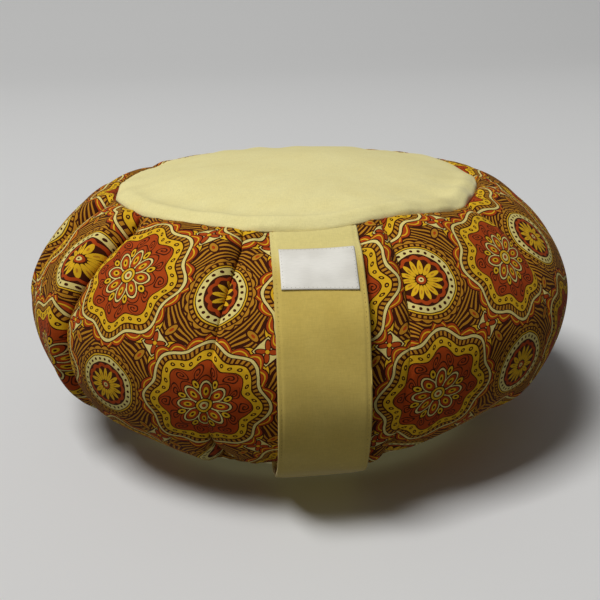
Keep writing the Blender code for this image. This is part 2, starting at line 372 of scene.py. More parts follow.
def ring_of_cloth(share):
    """The points of one ring of the side band."""
    (radius, height), (out_r, out_z) = wall_line.at(share)
    here = drifted(columns, share)
    from_seam = min(share, 1.0 - share)
    reach = from_seam * wall_line.length
    bed = ease((STRAP_BED_TURN - np.abs(turn(here, 0.0))) / 3.0)
    push = LOBE * ease(lobe_place(columns) * 1.6) * ease(from_seam / 0.08)
    push *= ease((0.42 - from_seam) / 0.3)
    end = 0 if share < 0.5 else 1
    push += PUCKER * puckers[end] * math.exp(-reach / PUCKER_REACH)
    push += DRAG * drags[end] * math.exp(-reach / DRAG_REACH) * ease(reach / (8.0 * MM))
    push += SETTLING * (slow[0] * share + slow[1] * (1.0 - share)) * ease(reach / 0.03)
    push *= 1.0 - bed
    sideways = np.zeros(len(here))
    for pleat in PLEATS:
        aside = radius * np.radians(turn(here, pleat_angle(pleat, share)))
        out, lean = fold_of(pleat, aside, share)
        push += out
        sideways += lean
    for at, down, turning, shares, out in UNEVEN:
        aside = turn(here, at) / turning
        push += out * MM * np.exp(-(aside**2) - ((share - down) / shares) ** 2)
    push -= STRAP_RECESS * bed * ease((0.13 - from_seam) / 0.07)
    push *= ease(from_seam / SEAM_LIP)
    near_seam = ease((SEAM_REACH - from_seam) / SEAM_REACH)
    moved_out, lifted = seam_moves(columns, share < 0.5)
    return placed(here + np.degrees(sideways / radius),
                  radius + out_r * push + moved_out * near_seam,
                  height + out_z * push + lifted * near_seam)


def placed(angles, radius, height):
    """The points at the angles, radii and heights."""
    a = np.radians(angles)
    return np.stack([radius * np.sin(a), -radius * np.cos(a), height + 0.0 * a], -1)


# %% [markdown]
# Below the top and base cloths the band closes over the filling. On the real
# cushion there is loose filling there and no second cloth, but the pressure of
# the cloth solver needs a closed form. Those parts are hidden, so a few rings
# do, set back by the thickness of the cloth.

# %% Rings of the discs
SHAPED_FROM = 60.0 * MM
RIM_PAST = 0.4


def inset(section, by):
    """The section moved by a distance, square to itself, into the cushion."""
    p = np.array(section)
    steps = np.diff(p, axis=0)
    steps /= np.linalg.norm(steps, axis=1)[:, None]
    inward = np.stack([steps[:, 1], -steps[:, 0]], 1)
    if p[0, 1] < p[:, 1].max():
        inward = -inward
    both = np.vstack([inward[:1], inward]) + np.vstack([inward, inward[-1:]])
    both /= (both * np.vstack([inward, inward[-1:]])).sum(axis=1)[:, None]
    both[0, 0] = 0.0
    return p + both * by / MM


def disc_ring(angles, share, radius, height):
    """A ring of a disc, which takes up the seam's corners near its edge."""
    shaped = ease((radius - SHAPED_FROM) / (SEAM_RADIUS - SHAPED_FROM))
    moved_out, lifted = seam_moves(angles, share < 0.5)
    return placed(drifted(angles, share), radius + moved_out * shaped, height + lifted * shaped)


def bed_rings(section, share):
    """The closing rings below one of the discs, from the middle outwards."""
    bed = inset(section, BED_DEPTH)
    rim = np.array(section[-1]) - np.array(section[-2])
    bed[-1] += rim / np.linalg.norm(rim) * RIM_PAST
    return [disc_ring(columns, share, r * MM, z * MM) for r, z in bed[1:]]


# %% [markdown]
# Every cloth here is made of rings of points. These helpers join the rings by
# faces that look outwards, put the mesh in the scene, and apply a modifier to
# one piece alone, with everything else deselected.

# %% Join rings into a piece
def new_piece(name, points, faces):
    """An object of the given points and faces, in the scene."""
    mesh = bpy.data.meshes.new(name)
    mesh.from_pydata([tuple(p) for p in points], [], faces)
    made = bpy.data.objects.new(name, mesh)
    bpy.context.scene.collection.objects.link(made)
    mesh.shade_smooth()
    return made


def closed_faces(rings, size):
    """Outward faces between rings of so many points, and one over each end."""
    last = (rings - 1) * size
    faces = [tuple(range(size)), tuple(last + size - 1 - k for k in range(size))]
    for k in range(size):
        n = (k + 1) % size
        for ring in range(rings - 1):
            a, b = ring * size, (ring + 1) * size
            faces.append((a + k, b + k, b + n, a + n))
    return faces


def disc_faces(rings, size):
    """Faces that look up, between a middle point and rings of so many points."""
    faces = [(0, 1 + k, 1 + (k + 1) % size) for k in range(size)]
    for ring in range(rings - 1):
        a, b = 1 + ring * size, 1 + (ring + 1) * size
        for k in range(size):
            n = (k + 1) % size
            faces.append((a + k, b + k, b + n, a + n))
    return faces


def select_only(piece):
    """Makes the piece the only selected one."""
    bpy.ops.object.select_all(action="DESELECT")
    bpy.context.view_layer.objects.active = piece
    piece.select_set(True)


def apply_modifier(piece, modifier):
    """Applies a modifier of the piece."""
    select_only(piece)
    bpy.ops.object.modifier_apply(modifier=modifier.name)


def split_ends(piece):
    """Cuts the two many-sided end faces into triangles."""
    shape = bmesh.new()
    shape.from_mesh(piece.data)
    ends = [face for face in shape.faces if len(face.verts) > 4]
    bmesh.ops.triangulate(shape, faces=ends)
    shape.to_mesh(piece.data)
    shape.free()


# %% [markdown]
# Now the rings of the band are stacked. A cylinder with many segments could be
# pulled into this shape too, but its columns would be evenly spaced, and the
# creases need theirs close together. The two end faces have hundreds of
# corners, which a subdivision smooths very slowly, so they are cut into
# triangles first.

# %% Build the band
RING_SHARES = np.concatenate([
    [0.0, 0.006, 0.013, 0.022, 0.034, 0.048],
    np.linspace(0.065, 0.935, 50),
    [0.952, 0.966, 0.978, 0.987, 0.994, 1.0],
])

top_bed = bed_rings(TOP_SECTION, 0.0)
base_bed = bed_rings(BASE_SECTION, 1.0)
side_rings = [ring_of_cloth(share) for share in RING_SHARES]
all_rings = top_bed + side_rings + base_bed[::-1]
points = np.vstack(all_rings)
printed_side = new_piece("printed_side", points, closed_faces(len(all_rings), count))
split_ends(printed_side)
print("the band has", len(all_rings), "rings and", len(points), "points")

# %% [markdown]
# The print needs to know where each point was on the flat strip. Along the
# strip the cloth isn't stretched, so between two pleats its width is its real
# width, and what is missing at the seams is hidden in the pleats. The print
# therefore jumps at each crease, as it does on the real cushion.

# %% Unroll the cloth for the print
def strip_places():
    """The pleats in order, and the one before each column."""
    order = sorted(PLEATS)
    tops = np.array([p[0] for p in order])
    segment = np.searchsorted(tops, turn(columns, tops[0] + 180.0) + tops[0] + 180.0, "right")
    return order, (segment - 1) % len(PLEATS)


def write_print_map(piece):
    """Gives the piece its map: metres along the strip and down from the seam."""
    order, segments = strip_places()
    first = len(top_bed) * count
    along = np.zeros((len(RING_SHARES), count, 2))
    for row, share in enumerate(RING_SHARES):
        radius = wall_line.place(share * wall_line.length)[0]
        here = drifted(columns, share)
        angles = np.array([pleat_angle(p, share) for p in order])
        widest = np.array([pleat_angle(p, 0.5) for p in order])
        for side in (0, 1):
            k = segments if side == 0 else segments[np.arange(count) - 1]
            k_next = (k + 1) % len(order)
            wide = (angles[k_next] - angles[k]) % 360.0
            middle = angles[k] + wide / 2.0
            wide_middle = widest[k] + ((widest[k_next] - widest[k]) % 360.0) / 2.0
            along[row, :, side] = WIDEST_RADIUS * np.radians(wide_middle)
            along[row, :, side] += radius * np.radians(turn(here, middle))
    layer = piece.data.uv_layers.new(name="strip")
    for face in piece.data.polygons:
        corners = [piece.data.loops[k].vertex_index - first for k in face.loop_indices]
        if min(corners) < 0 or max(corners) >= along[..., 0].size:
            continue
        cols = [c % count for c in corners]
        left = max(set(cols)) if set(cols) == {0, count - 1} else min(cols)
        for k, corner in zip(face.loop_indices, corners):
            row, col = divmod(corner, count)
            u = along[row, col, 0 if col == left else 1]
            layer.data[k].uv = (u, RING_SHARES[row] * wall_line.length)


write_print_map(printed_side)
print("round its widest place the strip is", round(2.0 * math.pi * WIDEST_RADIUS, 2), "m")

# %% [markdown]
# The filling now pushes the band out. Blender's cloth solver does that: the
# seams, the creases and the place under the strap are held, and the cloth
# between them swells and wrinkles by itself. No point may move further than a
# few millimetres, so the cushion keeps its measured outline.

# %% Let the filling swell the cloth
SWELL_FRAMES = 16
SWELL_MOST = 4.0 * MM


def held_share():
    """How firmly each point of the band is held, from 0 to 1."""
    held = np.ones(len(points))
    first = len(top_bed) * count
    for row, share in enumerate(RING_SHARES):
        from_seam = min(share, 1.0 - share)
        here = drifted(columns, share)
        radius = wall_line.place(share * wall_line.length)[0]
        near = np.zeros(count)
        for pleat in PLEATS:
            aside = radius * np.radians(turn(here, pleat_angle(pleat, share)))
            depth = pleat_depth(pleat, share) / (3.0 * MM)
            near = np.maximum(near, min(1.0, depth) * np.exp(-np.abs(aside) / (3.0 * MM)))
        under_strap = ease((STRAP_BED_TURN + 1.5 - np.abs(turn(here, 0.0))) / 4.0)
        seam = float(ease(1.0 - from_seam / 0.05))
        row_held = np.maximum(np.maximum(near, seam), 0.9 * under_strap)
        held[first + row * count : first + (row + 1) * count] = row_held
    return held


def swell(piece, held):
    """Runs the cloth solver on the piece and keeps a capped result."""
    group = piece.vertex_groups.new(name="held")
    for k, weight in enumerate(held):
        group.add([k], float(weight), "REPLACE")
    cloth = piece.modifiers.new("filling", "CLOTH")
    cloth.settings.quality = 5
    cloth.settings.mass = 0.25
    cloth.settings.tension_stiffness = 12.0
    cloth.settings.compression_stiffness = 12.0
    cloth.settings.shear_stiffness = 6.0
    cloth.settings.bending_stiffness = 0.15
    cloth.settings.shrink_min = -0.02
    cloth.settings.use_pressure = True
    cloth.settings.uniform_pressure_force = 3.0
    cloth.settings.effector_weights.gravity = 0.0
    cloth.settings.vertex_group_mass = group.name
    cloth.collision_settings.use_collision = False
    cloth.collision_settings.use_self_collision = False
    scene = bpy.context.scene
    for frame_number in range(1, SWELL_FRAMES + 1):
        scene.frame_set(frame_number)
    shown = piece.evaluated_get(bpy.context.evaluated_depsgraph_get())
    moved = np.array([v.co[:] for v in shown.data.vertices])
    piece.modifiers.remove(cloth)
    piece.vertex_groups.remove(group)
    scene.frame_set(1)
    rest = np.array([v.co[:] for v in piece.data.vertices])
    step = moved - rest
    far = np.linalg.norm(step, axis=1, keepdims=True)
    step *= SWELL_MOST * np.tanh(far / SWELL_MOST) / np.maximum(far, 1e-9)
    piece.data.vertices.foreach_set("co", (rest + step).ravel())
    piece.data.update()
    print("the cloth moved", round(float(far.max()) / MM, 2), "mm at most")


def smooth_once(piece):
    """Adds one level of subdivision and applies it."""
    smooth = piece.modifiers.new("smooth", "SUBSURF")
    smooth.levels = smooth.render_levels = 1
    apply_modifier(piece, smooth)


swell(printed_side, held_share())
smooth_once(printed_side)

# %% [markdown]
# The top and base cloths are discs. A filled circle could be inset and raised
# into one, but its border has to follow the corners of the seam, so it is
# drawn as one skin along its section, and Solidify gives it its thickness.
# At the front the border stands up in a ridge, because the seam turns it down
# there, and all round it puckers where the stitches pull.

# %% Sew on the top and base cloths
COVER_COLUMNS = 288
COVER_SHARES = np.concatenate([
    np.linspace(0.05, 0.72, 16),
    np.linspace(0.75, 0.93, 14),
    np.linspace(0.94, 1.0, 9),
])
PANEL_PUCKER = 0.16 * MM
PANEL_PULL = 0.5 * MM
PANEL_WAVE = 0.7 * MM
PANEL_SWAY = 0.5 * MM
RIDGE = (2.0 * MM, 8.5 * MM, 4.5 * MM)
HOLLOW = (-0.9 * MM, 23.0 * MM, 9.0 * MM)
STANDS_WITHIN = 92.0 * MM


def hump(x, height, middle, width):
    """A soft hump of a height, round a middle."""
    return height * np.exp(-(((x - middle) / width) ** 2))


def cover_lift(angles, radius, stitches, pulls):
    """How far a disc's cloth stands off its section at one radius."""
    from_edge = max(0.0, SEAM_RADIUS - radius)
    toward_x, toward_y = np.sin(np.radians(angles)), -np.cos(np.radians(angles))
    x, y = radius * toward_x, radius * toward_y
    front = ease((0.35 - toward_y) / 1.1)
    lift = PANEL_PUCKER * stitches * math.exp(-from_edge / (5.0 * MM))
    lift += PANEL_PULL * pulls * math.exp(-from_edge / (16.0 * MM))
    lift += PANEL_WAVE * np.sin(x / 0.017 + y / 0.05) * np.sin(y / 0.024 - x / 0.06 + 1.0)
    lift += PANEL_SWAY * np.sin(x / 0.04 - y / 0.019 + 2.0)
    lift += front * (hump(from_edge, *RIDGE) + hump(from_edge, *HOLLOW))
    return lift * float(ease(from_edge / (2.5 * MM)))


def cover(name, section, share, outward):
    """A disc of cloth along the section, with its border turned to the seam."""
    line = Section(section)
    angles = np.arange(COVER_COLUMNS) * 360.0 / COVER_COLUMNS
    stitches = waves(angles, 80, 120)
    pulls = waves(angles, 16, 30)
    places, outs = line.at(COVER_SHARES)
    rings = []
    for (radius, height), (out_r, out_z) in zip(places, outs * outward):
        lift = cover_lift(angles, radius, stitches, pulls)
        if outward < 0.0:
            lift *= float(ease((radius - STANDS_WITHIN) / (12.0 * MM)))
        rings.append(disc_ring(angles, share, radius + out_r * lift, height + out_z * lift))
    middle = (0.0, 0.0, line.line[0, 1])
    faces = disc_faces(len(rings), COVER_COLUMNS)
    if outward < 0.0:
        faces = [face[::-1] for face in faces]
    made = new_piece(name, np.vstack([[middle], *rings]), faces)
    thick = made.modifiers.new("thickness", "SOLIDIFY")
    thick.thickness = COVER_CLOTH
    thick.offset = -1.0
    apply_modifier(made, thick)
    made.data.shade_smooth()
    print(name, "has", len(made.data.polygons), "faces")
    return made


top_cover = cover("top_cover", TOP_SECTION, 0.0, 1.0)
base_cover = cover("base_cover", BASE_SECTION, 1.0, -1.0)

# %% [markdown]
# The strap is one strip of the cream cotton, sewn double. A curve with a bevel
# profile could make it, but its two ends have to lie round the cushion and its
# middle is flat, so a closed outline with rounded edges is swept along the
# strap's own section in code. Along both long edges the stitching presses a
# groove. The cloth between them stays full, and it bulges below the hand gap.

# %% Sweep the strap
STITCH_INSET = 1.9 * MM
GROOVE_DEPTH = 0.6 * MM
GROOVE_WIDTH = 0.8 * MM
STRAP_STATIONS = 150
STRAP_ACROSS = 44
STRAP_BULGE = (1.3 * MM, 66.0 * MM, 18.0 * MM)
STRAP_STEP = 3.0 * MM
STRAP_STEP_FROM = 86.0 * MM
STRAP_STEP_LONG = 36.0 * MM
STRAP_WAVE = 0.5 * MM
SLACK_FROM = 40.0 * MM


def on_strap(along, aside, above):
    """Points at lengths along the strap, beside its middle and above its face."""
    share = along / strap_line.length
    place, out = strap_line.at(share)
    clings = ease(1.0 - np.minimum(share, 1.0 - share) / STRAP_CLINGS)
    x = aside + STRAP_DRIFT * share
    bend = clings / SEAM_RADIUS
    sag = x**2 * bend / 2.0 * (1.0 + (x * bend) ** 2 / 4.0)
    moved_out, lifted = seam_moves(np.degrees(x / SEAM_RADIUS), share < 0.5)
    radius = place[..., 0] + out[..., 0] * above - sag + moved_out * clings
    return np.stack([x, -radius, place[..., 1] + out[..., 1] * above + lifted * clings], -1)


def strap_face(along, aside):
    """How far the strap's outer face stands above its drawn line."""
    slack = ease(np.minimum(along, strap_line.length - along) / SLACK_FROM)
    face = hump(along + 0.2 * aside, *STRAP_BULGE)
    face += STRAP_STEP * ease((along - STRAP_STEP_FROM - 0.3 * aside) / STRAP_STEP_LONG)
    face += STRAP_WAVE * np.sin(along / (7.3 * MM) - aside / (12.0 * MM) + 1.0)
    face *= slack
    from_edge = STRAP_WIDTH / 2.0 - np.abs(aside)
    groove = hump(from_edge, GROOVE_DEPTH, STITCH_INSET, GROOVE_WIDTH)
    return face - groove * (1.0 + 0.25 * np.sin(along / (0.45 * MM)))


def swept_strap():
    """The strap as a closed form."""
    half = STRAP_WIDTH / 2.0
    edge = STRAP_THICK / 2.0
    spread = np.linspace(-1.0, 1.0, STRAP_ACROSS)
    aside = (half - 0.15 * MM) * np.sign(spread) * np.abs(spread) ** 0.8
    past = np.maximum(0.0, np.abs(aside) - half + edge)
    round_off = edge - np.sqrt(np.maximum(0.0, edge**2 - past**2))
    loops = []
    for where in np.linspace(0.0, 1.0, STRAP_STATIONS) * strap_line.length:
        here = np.full(STRAP_ACROSS, where)
        outer = on_strap(here, aside, strap_face(here, aside) - round_off)
        ungrooved = strap_face(here, 0.0 * aside)
        inner = on_strap(here, aside, ungrooved - STRAP_THICK + round_off)
        loops.append(np.vstack([outer, inner[::-1]]))
    faces = closed_faces(STRAP_STATIONS, 2 * STRAP_ACROSS)
    return new_piece("carry_strap", np.vstack(loops), faces)


carry_strap = swept_strap()
print("the strap is", round(strap_line.length / MM), "mm long")

# %% [markdown]
# The label is a short piece of white satin ribbon, left blank. A plane could be
# wrapped onto the strap with Shrinkwrap, but the strap's own sums already say
# where its face is, so the label is laid on that. Its edges are pulled down by
# their stitches, and it sits a little askew.

# %% Lay the label on the strap
LABEL_STATIONS = 36
LABEL_ACROSS = 48
LABEL_LIFT = 0.25 * MM
LABEL_TILT = 0.045
LABEL_FULLNESS = 0.45 * MM


def label_face(along, aside):
    """How far the label's face stands above the strap's drawn line."""
    down = (along - LABEL_TILT * aside - LABEL_TOP) / LABEL_HEIGHT
    side = np.abs(aside) / (LABEL_WIDTH / 2.0)
    full = ease((1.0 - side) / 0.1) * ease(np.minimum(down, 1.0 - down) / 0.12)
    wave = 0.5 + 0.3 * np.sin(7.0 * aside / LABEL_WIDTH + 1.0) * np.cos(3.0 * down)
    strap_below = strap_face(along, aside * 0.8)
    return strap_below + LABEL_LIFT + LABEL_THICK + LABEL_FULLNESS * full * wave


def laid_label():
    """The label as a closed form."""
    aside = np.linspace(-0.5, 0.5, LABEL_ACROSS) * LABEL_WIDTH
    along = LABEL_TOP + np.linspace(0.0, 1.0, LABEL_STATIONS) * LABEL_HEIGHT
    loops = []
    for where in along:
        here = where + LABEL_TILT * aside
        face = label_face(here, aside)
        loops.append(np.vstack([on_strap(here, aside, face),
                                on_strap(here, aside, face - LABEL_THICK)[::-1]]))
    faces = closed_faces(LABEL_STATIONS, 2 * LABEL_ACROSS)
    return new_piece("blank_label", np.vstack(loops), faces)


blank_label = laid_label()
print("the label has", len(blank_label.data.polygons), "faces")

# %% [markdown]
# Both long edges of the strap and the border of the label are sewn with a
# visible thread. It could be a curve that dips into the cloth, but only what
# shows is needed. One stitch is modelled from a small ball that is drawn out,
# and it is copied along the groove that it lies in.

# %% Model one stitch
THREAD = 0.42 * MM
STITCH_LENGTH = 1.75 * MM

bpy.ops.object.select_all(action="DESELECT")
bpy.ops.mesh.primitive_uv_sphere_add(segments=8, ring_count=6, radius=THREAD / 2.0)
one_stitch = bpy.context.object
one_stitch.name = "one_stitch"
for corner in one_stitch.data.vertices:
    corner.select = corner.co.z > 0.01 * MM
for side in one_stitch.data.polygons:
    side.select = all(one_stitch.data.vertices[k].select for k in side.vertices)
bpy.ops.object.mode_set(mode="EDIT")
bpy.ops.transform.translate(value=(0.0, 0.0, STITCH_LENGTH - THREAD))
bpy.ops.object.mode_set(mode="OBJECT")
print("one stitch has", len(one_stitch.data.polygons), "faces")

# %% [markdown]
# A row of stitches is a list of places: how far along the strap, how far
# beside its middle, and which way the stitch points. Each copy has its own
# mesh, and the copies of one row are joined into one thread. An Array on a
# curve would do it with fewer lines, but it can't follow the grooved face.

# %% Sew the strap and the label
STITCH_HALF_STEP = 0.2 * MM
STITCH_PROUD = 0.02 * MM
ROW_ENDS = 2.5 * MM
STRAP_PITCH = 2.7 * MM
LABEL_PITCH = 2.3 * MM
LABEL_INSET = 1.1 * MM


def row(start, end, pitch):
    """Places of the stitches from one end of a row to the other."""
    steps = max(1, int(round((end - start) / pitch)))
    return start + (np.arange(steps) + 0.5) * (end - start) / steps


def sewn(name, places, face):
    """One thread: a stitch at each place (along, aside, direction)."""
    rows = bmesh.new()
    for along, aside, direction in places:
        step = STITCH_HALF_STEP * np.array(direction)
        ends = []
        for way in (-1.0, 1.0):
            at = (np.array(along + way * step[0]), np.array(aside + way * step[1]))
            ends.append(Vector(on_strap(*at, face(*at) + STITCH_PROUD)))
        axis = (ends[1] - ends[0]).normalized()
        spot = (ends[0] + ends[1]) / 2.0 - axis * (STITCH_LENGTH - THREAD) / 2.0
        turned = axis.to_track_quat("Z", "Y").to_matrix().to_4x4()
        stitch = one_stitch.data.copy()
        stitch.transform(Matrix.Translation(spot) @ turned)
        rows.from_mesh(stitch)
        bpy.data.meshes.remove(stitch)
    mesh = bpy.data.meshes.new(name)
    rows.to_mesh(mesh)
    rows.free()
    thread = bpy.data.objects.new(name, mesh)
    bpy.context.collection.objects.link(thread)
    mesh.shade_smooth()
    print(name, "has", len(places), "stitches")
    return thread


strap_places = []
for side in (-1.0, 1.0):
    for along in row(ROW_ENDS, strap_line.length - ROW_ENDS, STRAP_PITCH):
        strap_places.append((along, side * (STRAP_WIDTH / 2.0 - STITCH_INSET), (1.0, 0.0)))
label_places = []
label_side = LABEL_WIDTH / 2.0 - LABEL_INSET
label_ends = (LABEL_TOP + LABEL_INSET, LABEL_TOP + LABEL_HEIGHT - LABEL_INSET)
for side in (-1.0, 1.0):
    for along in row(*label_ends, LABEL_PITCH):
        aside = side * label_side
        label_places.append((along + LABEL_TILT * aside, aside, (1.0, 0.0)))
for along in label_ends:
    for aside in row(-label_side, label_side, LABEL_PITCH):
        label_places.append((along + LABEL_TILT * aside, aside, (LABEL_TILT, 1.0)))
strap_thread = sewn("strap_thread", strap_places, strap_face)
label_thread = sewn("label_thread", label_places, label_face)
bpy.data.objects.remove(one_stitch)

# %% [markdown]
# The print is drawn with numbers, not from a picture, so it stays sharp at any
# size. Blender's Math nodes can do it, but hundreds of them are slow to join
# by hand. The small class below lets a pattern be written as a plain sum:
# every sign adds one node to the material.

# %% Write shader sums as plain sums
class Value:
    """A number that a material works out at each point of the cloth."""

    tree = None

    def __init__(self, socket):
        self.socket = socket

    def __add__(self, other):
        return maths("ADD", self, other)

    def __sub__(self, other):
        return maths("SUBTRACT", self, other)

    def __mul__(self, other):
        return maths("MULTIPLY", self, other)

    def __truediv__(self, other):
        return maths("DIVIDE", self, other)

    def __lt__(self, other):
        return maths("LESS_THAN", self, other)

    def __gt__(self, other):
        return maths("GREATER_THAN", self, other)

    def __abs__(self):
        return maths("ABSOLUTE", self)


def feed(place, given):
    """Puts a number, a colour or another node's result into a socket."""
    if isinstance(given, Value):
        given = given.socket
    if isinstance(given, bpy.types.NodeSocket):
        Value.tree.links.new(given, place)
    else:
        place.default_value = given


def maths(operation, *terms):
    """One Math node."""
    node = Value.tree.nodes.new("ShaderNodeMath")
    node.operation = operation
    for place, term in zip(node.inputs, terms):
        feed(place, term)
    return Value(node.outputs[0])


# %% [markdown]
# A few nodes have no sign, such as noise and a mix of two colours. Each gets a
# short helper that adds one node and joins what it is given. Node groups could
# hold them too, but a group round a single node would only hide it.

# %% Give the other nodes short names
def step_up(value, low, high):
    """0 below low, 1 above high, and smooth between them."""
    node = Value.tree.nodes.new("ShaderNodeMapRange")
    node.interpolation_type = "SMOOTHSTEP"
    feed(node.inputs["Value"], value)
    node.inputs["From Min"].default_value = low
    node.inputs["From Max"].default_value = high
    return Value(node.outputs[0])


def vector(*parts):
    """Three numbers as one vector."""
    node = Value.tree.nodes.new("ShaderNodeCombineXYZ")
    for place, part in zip(node.inputs, parts):
        feed(place, part)
    return node.outputs[0]


def parts_of(vector_socket):
    """A vector as three numbers."""
    node = Value.tree.nodes.new("ShaderNodeSeparateXYZ")
    feed(node.inputs[0], vector_socket)
    return [Value(part) for part in node.outputs]


def noise(place, scale, detail=2.0):
    """Soft noise, about 0.5 on average."""
    node = Value.tree.nodes.new("ShaderNodeTexNoise")
    feed(node.inputs["Vector"], place)
    node.inputs["Scale"].default_value = scale
    node.inputs["Detail"].default_value = detail
    return Value(node.outputs[0])


def blend(share, first, second):
    """A colour between two others."""
    node = Value.tree.nodes.new("ShaderNodeMix")
    node.data_type = "RGBA"
    feed(node.inputs["Factor"], share)
    feed(node.inputs[6], first)
    feed(node.inputs[7], second)
    return node.outputs[2]


def tinted(colour, share):
    """A colour made lighter or darker by a number near 1."""
    node = Value.tree.nodes.new("ShaderNodeVectorMath")
    node.operation = "SCALE"
    feed(node.inputs[0], colour)
    feed(node.inputs["Scale"], share)
    return node.outputs[0]


# %% [markdown]
# All the finishes here are cloth: rough, with little gloss, and with some sheen
# from loose fibres. They start from the same settings and differ in colour,
# bump and roughness. A new material for each by hand would do as well. Colours
# are written as a screen shows them, and tone turns them into amounts of light.

# %% Start a finish
def tone(red, green, blue):
    """A colour from its three shares of 255, as a screen shows it."""
    return (*[(part / 255.0) ** 2.2 for part in (red, green, blue)], 1.0)


def new_finish(name, roughness, sheen):
    """A material whose nodes are to be written."""
    finish = bpy.data.materials.new(name)
    finish.use_nodes = True
    Value.tree = finish.node_tree
    shader = finish.node_tree.nodes["Principled BSDF"]
    shader.inputs["Roughness"].default_value = roughness
    shader.inputs["Specular IOR Level"].default_value = 0.12
    shader.inputs["Sheen Weight"].default_value = sheen
    shader.inputs["Sheen Roughness"].default_value = 0.6
    return finish, shader


def raise_by(shader, height, far, strength):
    """Bump from a height between 0 and 1."""
    node = Value.tree.nodes.new("ShaderNodeBump")
    node.inputs["Distance"].default_value = far
    node.inputs["Strength"].default_value = strength
    feed(node.inputs["Height"], height)
    feed(shader.inputs["Normal"], node.outputs[0])


# %% [markdown]
# The band is cotton printed with a repeating pattern in five colours: dark
# brown lines, rust, ochre, yellow and cream. Large round figures stand on a
# diagonal net, smaller flowers fill the gaps between them, and small patches
# sit where four figures meet. The design is drawn in millimetres and printed
# a little smaller than it is drawn. Each point of the cloth only asks for its
# distance and angle from the nearest figure, so one figure gives the whole net.

# %% Set out the net of the print
NET = 118.0 * math.sqrt(2.0)
NET_START = 60.0
PRINTED_AT = 0.78
PRINT_WANDER = 3.0
PER_METRE = 1000.0
print_finish, print_shader = new_finish("printed_cotton_cloth", roughness=0.9, sheen=0.02)
print_shader.inputs["Sheen Tint"].default_value = (0.9, 0.6, 0.35, 1.0)
cloth_map = Value.tree.nodes.new("ShaderNodeUVMap")
cloth_map.uv_map = "strip"
cloth_u, cloth_v = [part * PER_METRE for part in parts_of(cloth_map.outputs[0])[:2]]
cloth_place = vector(cloth_u, cloth_v, 0.0)
other_place = vector(cloth_v, cloth_u, 7.0)
drawn_u = cloth_u / PRINTED_AT + (noise(cloth_place, 0.07) - 0.5) * PRINT_WANDER
drawn_v = cloth_v / PRINTED_AT + (noise(other_place, 0.07) - 0.5) * PRINT_WANDER


def wrap(value, half):
    """Repeats a value between minus half and half."""
    return maths("WRAP", value, half, -half)


def length_of(x, y):
    """The length of a flat vector."""
    return maths("SQRT", x * x + y * y)


def net(across, down):
    """Distance and angle from the nearest point of the diagonal net."""
    u, v = drawn_u - across, drawn_v - down
    p, q = wrap((u + v) / NET, 0.5), wrap((v - u) / NET, 0.5)
    x, y = (p - q) * (NET / 2.0), (p + q) * (NET / 2.0)
    return length_of(x, y), maths("ARCTAN2", y, x)


print("a figure is repeated every", round(NET * PRINTED_AT), "mm along the strip")

# %% [markdown]
# The motifs are made of rings, petals and rows of beads. They could be drawn
# with a pen and stored as a picture, but here a petal or a bead is a number
# that is small inside the shape. Comparing it with a limit gives the shape, and
# a slightly larger limit gives its outline.

# %% Rings, petals and beads
def cos_of(angle, times):
    """The cosine of so many times an angle."""
    return maths("COSINE", angle * times)


def both(first, second):
    """Where both are true."""
    return first * second


def ring_at(distance, middle, half):
    """A ring of twice half's width."""
    return abs(distance - middle) < half


def petals(distance, angle, times, middle, long, wide, turned=0.0):
    """How far each point is out from the nearest of a ring of petals."""
    near = wrap(angle + turned, math.pi / times)
    x = maths("COSINE", near) * distance - middle
    y = maths("SINE", near) * distance
    return length_of(x / long, y / wide)


def beads(distance, angle, times, middle):
    """Distance from the nearest of a ring of beads."""
    return petals(distance, angle, times, middle, 1.0, 1.0)


# %% [markdown]
# The inks are laid over each other, as in screen printing, and the last one is
# on top. One Mix node for each layer does that. A colour ramp would need fewer
# nodes, but it can't lay two different motifs over each other.

# %% Mix the inks
class Picture:
    """Colours laid over each other, the last one on top."""

    def __init__(self, ground):
        self.colour = ground

    def paint(self, where, colour):
        """Covers the places where the number is 1."""
        self.colour = blend(where, self.colour, colour)


DARK = tone(62, 26, 9)
RUST = tone(164, 66, 22)
OCHRE = tone(178, 122, 34)
YELLOW = tone(216, 168, 34)
CREAM = tone(218, 200, 122)

# %% [markdown]
# The picture is painted from the back to the front. The ground is dark, with
# ochre lines that run round the flowers. Where four figures meet there are
# eight leaves round a cream diamond. The numbers are distances in millimetres
# on the drawn design.

# %% Draw the ground and the small patches
figure, figure_angle = net(0.0, NET_START)
flower, flower_angle = net(NET / 2.0, NET_START)
patch_x = wrap(drawn_u - NET / 4.0, NET / 4.0)
patch_y = wrap(drawn_v - NET_START - NET / 4.0, NET / 4.0)
patch, patch_angle = length_of(patch_x, patch_y), maths("ARCTAN2", patch_y, patch_x)
arcs = wrap((flower + cos_of(figure_angle, 16.0) * 1.2) / 2.9, 0.5)
picture = Picture(DARK)
picture.paint(abs(arcs) < 0.21, OCHRE)
for turned, ink, long in ((0.0, YELLOW, 6.4), (math.pi / 4.0, OCHRE, 5.0)):
    leaf = petals(patch, patch_angle, 4.0, 14.5, long, 2.3, turned)
    picture.paint(leaf < 1.35, DARK)
    picture.paint(leaf < 1.0, ink)
    picture.paint(leaf < 0.4, RUST)
diamond = abs(patch_x) + abs(patch_y)
picture.paint(diamond < 11.2, DARK)
picture.paint(diamond < 10.0, CREAM)
patch_leaf = petals(patch, patch_angle, 4.0, 4.3, 3.6, 1.7)
picture.paint(patch_leaf < 1.25, DARK)
picture.paint(patch_leaf < 0.9, RUST)
picture.paint(patch < 1.4, YELLOW)

# %% [markdown]
# A large figure has an outline with eight soft points. The swing of a cosine
# is taken off the distance, and every ring that is drawn with the result then
# follows that outline: a frilled edge, a cream line, dashes, a yellow ribbon
# with beads, and the rust field inside.

